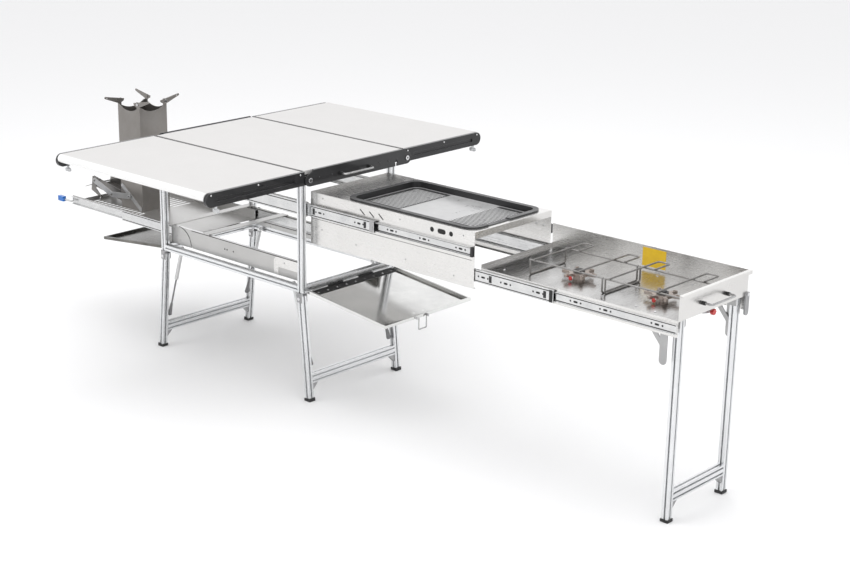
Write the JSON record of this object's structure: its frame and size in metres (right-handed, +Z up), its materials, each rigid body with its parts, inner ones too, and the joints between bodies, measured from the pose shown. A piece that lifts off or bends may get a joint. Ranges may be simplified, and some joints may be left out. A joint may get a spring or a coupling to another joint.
{
  "type": "camp kitchen table",
  "caption": "Fold-out camp kitchen table with drop leaves, drawers holding a griddle and a two-burner gas stove, side trays, and a rack with a rocket stove.",
  "frame": {"origin": "middle of the footprint box, on the ground", "axes": "+X from the rocket stove end towards the gas stove end, +Y from the near leaf towards the far leaf, +Z up"},
  "size_m": [3.3385, 1.486, 0.9909],
  "materials": {
    "laminate": "satin pale warm-grey laminate",
    "anodised_black": "black anodised, satin",
    "slot_profile": "clear anodised, satin",
    "stainless": "brushed",
    "plated_steel": "bright zinc plated",
    "grey_steel": "satin grey",
    "pan_coating": "dark non-stick coating, slight sheen",
    "burner_casting": "cast, dark",
    "bright_wire": "polished",
    "black_plastic": "matt",
    "red_plastic": "gloss",
    "blue_plastic": "gloss"
  },
  "bodies": {
    "frame": {"corner_posts": "slot_profile", "frame_rails": "slot_profile", "leg_brackets": "grey_steel", "frame_pins": "plated_steel", "slide_outers": "plated_steel", "rack_guides": "stainless", "centre_board": "laminate", "link_plates": "anodised_black", "top_beams": "anodised_black", "side_handle": "bright_wire", "tray_hinge_leaves": "plated_steel"},
    "near_leaf": {"near_leaf_board": "laminate", "near_leaf_edges": "anodised_black"},
    "far_leaf": {"far_leaf_board": "laminate", "far_leaf_edges": "anodised_black"},
    "griddle_drawer": {"griddle_sides": "stainless", "griddle_top": "stainless", "griddle_pan": "pan_coating", "griddle_slide_inners": "plated_steel", "stove_slide_outers": "plated_steel"},
    "stove_tray": {"stove_floor": "stainless", "stove_walls": "stainless", "burners": "burner_casting", "pot_grates": "bright_wire", "stove_fittings": "grey_steel", "stove_handle": "bright_wire", "gas_regulator": "grey_steel", "stove_slide_inners": "plated_steel"},
    "rack": {"rack_plate": "stainless", "rack_slide_inners": "plated_steel", "stove_column": "stainless", "fuel_chute": "stainless", "arm_pins": "plated_steel"},
    "thumb_knob_near_left": {"thumb_knob_near_left": "black_plastic"},
    "thumb_knob_near_right": {"thumb_knob_near_right": "black_plastic"},
    "thumb_knob_far_left": {"thumb_knob_far_left": "black_plastic"},
    "thumb_knob_far_right": {"thumb_knob_far_right": "black_plastic"},
    "legs_left": {"legs_left": "slot_profile"},
    "legs_right": {"legs_right": "slot_profile"},
    "strut_bodies_left": {"strut_bodies_left": "grey_steel"},
    "strut_bodies_right": {"strut_bodies_right": "grey_steel"},
    "strut_rods_left": {"strut_rods_left": "black_plastic"},
    "strut_rods_right": {"strut_rods_right": "black_plastic"},
    "tray_left": {"tray_left": "stainless"},
    "tray_right": {"tray_right": "stainless"},
    "tray_bail_left": {"tray_bail_left": "bright_wire"},
    "tray_bail_right": {"tray_bail_right": "bright_wire"},
    "griddle_slide_middles": {"griddle_slide_middles": "plated_steel"},
    "stove_slide_middles": {"stove_slide_middles": "plated_steel"},
    "stove_legs": {"stove_legs": "slot_profile"},
    "leg_braces": {"leg_braces": "grey_steel"},
    "gas_valve_knob": {"gas_valve_knob": "red_plastic"},
    "end_latch": {"end_latch": "plated_steel"},
    "rack_slide_middles": {"rack_slide_middles": "plated_steel"},
    "rack_release_lever": {"rack_release_lever": "blue_plastic"},
    "pot_arm_right_back": {"pot_arm_right_back": "stainless"},
    "pot_arm_left_back": {"pot_arm_left_back": "stainless"},
    "pot_arm_left_front": {"pot_arm_left_front": "stainless"},
    "pot_arm_right_front": {"pot_arm_right_front": "stainless"},
    "chute_flap": {"chute_flap": "stainless"}
  },
  "joints": [
    {"name": "near_leaf_hinge", "type": "hinge", "parent": "frame", "child": "near_leaf", "pos_m": [-0.43778, -0.237, 0.88], "axis": [1, 0, 0], "range_deg": [0, 80]},
    {"name": "far_leaf_hinge", "type": "hinge", "parent": "frame", "child": "far_leaf", "pos_m": [-0.43778, 0.293, 0.88], "axis": [-1, 0, 0], "range_deg": [0, 90]},
    {"name": "thumb_knob_near_left_turn", "type": "hinge", "parent": "near_leaf", "child": "thumb_knob_near_left", "pos_m": [-0.88028, -0.691, 0.85], "axis": [0, 0, 1], "continuous": true},
    {"name": "thumb_knob_near_right_turn", "type": "hinge", "parent": "near_leaf", "child": "thumb_knob_near_right", "pos_m": [0.00472, -0.691, 0.85], "axis": [0, 0, 1], "continuous": true},
    {"name": "thumb_knob_far_left_turn", "type": "hinge", "parent": "far_leaf", "child": "thumb_knob_far_left", "pos_m": [-0.88028, 0.703, 0.85], "axis": [0, 0, 1], "continuous": true},
    {"name": "thumb_knob_far_right_turn", "type": "hinge", "parent": "far_leaf", "child": "thumb_knob_far_right", "pos_m": [0.00472, 0.703, 0.85], "axis": [0, 0, 1], "continuous": true},
    {"name": "legs_left_fold", "type": "hinge", "parent": "frame", "child": "legs_left", "pos_m": [-0.84928, 0.0015, 0.409], "axis": [0, -1, 0], "range_deg": [0, 90]},
    {"name": "legs_right_fold", "type": "hinge", "parent": "frame", "child": "legs_right", "pos_m": [-0.02628, 0.0015, 0.409], "axis": [0, 1, 0], "range_deg": [0, 90]},
    {"name": "strut_bodies_left_swing", "type": "hinge", "parent": "frame", "child": "strut_bodies_left", "pos_m": [-0.77428, 0.0015, 0.446], "axis": [0, -1, 0], "range_deg": [0, 92]},
    {"name": "strut_bodies_right_swing", "type": "hinge", "parent": "frame", "child": "strut_bodies_right", "pos_m": [-0.10128, 0.0015, 0.446], "axis": [0, 1, 0], "range_deg": [0, 92]},
    {"name": "strut_rods_left_slide", "type": "slide", "parent": "strut_bodies_left", "child": "strut_rods_left", "axis": [0.2983, 0, 0.9545], "range_m": [0, 0.12]},
    {"name": "strut_rods_right_slide", "type": "slide", "parent": "strut_bodies_right", "child": "strut_rods_right", "axis": [-0.2983, 0, 0.9545], "range_m": [0, 0.12]},
    {"name": "tray_left_hinge", "type": "hinge", "parent": "frame", "child": "tray_left", "pos_m": [-0.86698, 0.0015, 0.437], "axis": [0, 1, 0], "range_deg": [0, 11]},
    {"name": "tray_right_hinge", "type": "hinge", "parent": "frame", "child": "tray_right", "pos_m": [-0.00858, 0.0015, 0.437], "axis": [0, -1, 0], "range_deg": [0, 30]},
    {"name": "tray_bail_left_swing", "type": "hinge", "parent": "tray_left", "child": "tray_bail_left", "pos_m": [-1.29068, -0.041, 0.3925], "axis": [0, 1, 0], "range_deg": [-25, 62]},
    {"name": "tray_bail_right_swing", "type": "hinge", "parent": "tray_right", "child": "tray_bail_right", "pos_m": [0.41512, -0.041, 0.3925], "axis": [0, -1, 0], "range_deg": [-25, 62]},
    {"name": "griddle_drawer_slide", "type": "slide", "parent": "frame", "child": "griddle_drawer", "axis": [-1, 0, 0], "range_m": [0, 0.812]},
    {"name": "griddle_slide_middles_slide", "type": "slide", "parent": "frame", "child": "griddle_slide_middles", "axis": [-1, 0, 0], "range_m": [0, 0.41]},
    {"name": "stove_tray_slide", "type": "slide", "parent": "griddle_drawer", "child": "stove_tray", "axis": [-1, 0, 0], "range_m": [0, 0.82]},
    {"name": "stove_slide_middles_slide", "type": "slide", "parent": "griddle_drawer", "child": "stove_slide_middles", "axis": [-1, 0, 0], "range_m": [0, 0.41]},
    {"name": "stove_legs_fold", "type": "hinge", "parent": "stove_tray", "child": "stove_legs", "pos_m": [1.60772, 0.0015, 0.686], "axis": [0, 1, 0], "range_deg": [0, 90]},
    {"name": "leg_braces_swing", "type": "hinge", "parent": "stove_tray", "child": "leg_braces", "pos_m": [1.52272, 0.0015, 0.66], "axis": [0, -1, 0], "range_deg": [0, 46]},
    {"name": "gas_valve_knob_turn", "type": "hinge", "parent": "stove_tray", "child": "gas_valve_knob", "pos_m": [1.62072, 0.015, 0.6835], "axis": [1, 0, 0], "range_deg": [0, 270]},
    {"name": "end_latch_swing", "type": "hinge", "parent": "stove_tray", "child": "end_latch", "pos_m": [1.63172, 0.192, 0.706], "axis": [1, 0, 0], "range_deg": [-80, 80]},
    {"name": "rack_slide", "type": "slide", "parent": "frame", "child": "rack", "axis": [1, 0, 0], "range_m": [0, 0.3]},
    {"name": "rack_slide_middles_slide", "type": "slide", "parent": "frame", "child": "rack_slide_middles", "axis": [1, 0, 0], "range_m": [0, 0.152]},
    {"name": "rack_release_lever_lift", "type": "hinge", "parent": "rack", "child": "rack_release_lever", "pos_m": [-1.54128, -0.223, 0.51], "axis": [0, 1, 0], "range_deg": [0, 10]},
    {"name": "pot_arm_right_back_lift", "type": "hinge", "parent": "rack", "child": "pot_arm_right_back", "pos_m": [-1.21128, 0.0685, 0.968], "axis": [1, 0, 0], "range_deg": [0, 75]},
    {"name": "pot_arm_left_back_lift", "type": "hinge", "parent": "rack", "child": "pot_arm_left_back", "pos_m": [-1.35328, 0.0765, 0.968], "axis": [0, 1, 0], "range_deg": [0, 75]},
    {"name": "pot_arm_left_front_lift", "type": "hinge", "parent": "rack", "child": "pot_arm_left_front", "pos_m": [-1.36128, -0.0655, 0.968], "axis": [-1, 0, 0], "range_deg": [0, 75]},
    {"name": "pot_arm_right_front_lift", "type": "hinge", "parent": "rack", "child": "pot_arm_right_front", "pos_m": [-1.21928, -0.0735, 0.968], "axis": [0, -1, 0], "range_deg": [0, 75]},
    {"name": "chute_flap_lift", "type": "hinge", "parent": "rack", "child": "chute_flap", "pos_m": [-1.59428, 0.0015, 0.551], "axis": [0, 1, 0], "range_deg": [0, 45]}
  ],
  "couplings": [
    {"joint": "strut_bodies_left_swing", "follows": "legs_left_fold", "ratio": 1.01},
    {"joint": "strut_bodies_right_swing", "follows": "legs_right_fold", "ratio": 1.01},
    {"joint": "strut_rods_left_slide", "follows": "legs_left_fold", "m_per_rad": 0.0754},
    {"joint": "strut_rods_right_slide", "follows": "legs_right_fold", "m_per_rad": 0.0754},
    {"joint": "griddle_slide_middles_slide", "follows": "griddle_drawer_slide", "ratio": 0.5},
    {"joint": "stove_slide_middles_slide", "follows": "stove_tray_slide", "ratio": 0.5},
    {"joint": "leg_braces_swing", "follows": "stove_legs_fold", "ratio": 0.5},
    {"joint": "rack_slide_middles_slide", "follows": "rack_slide", "ratio": 0.5}
  ]
}
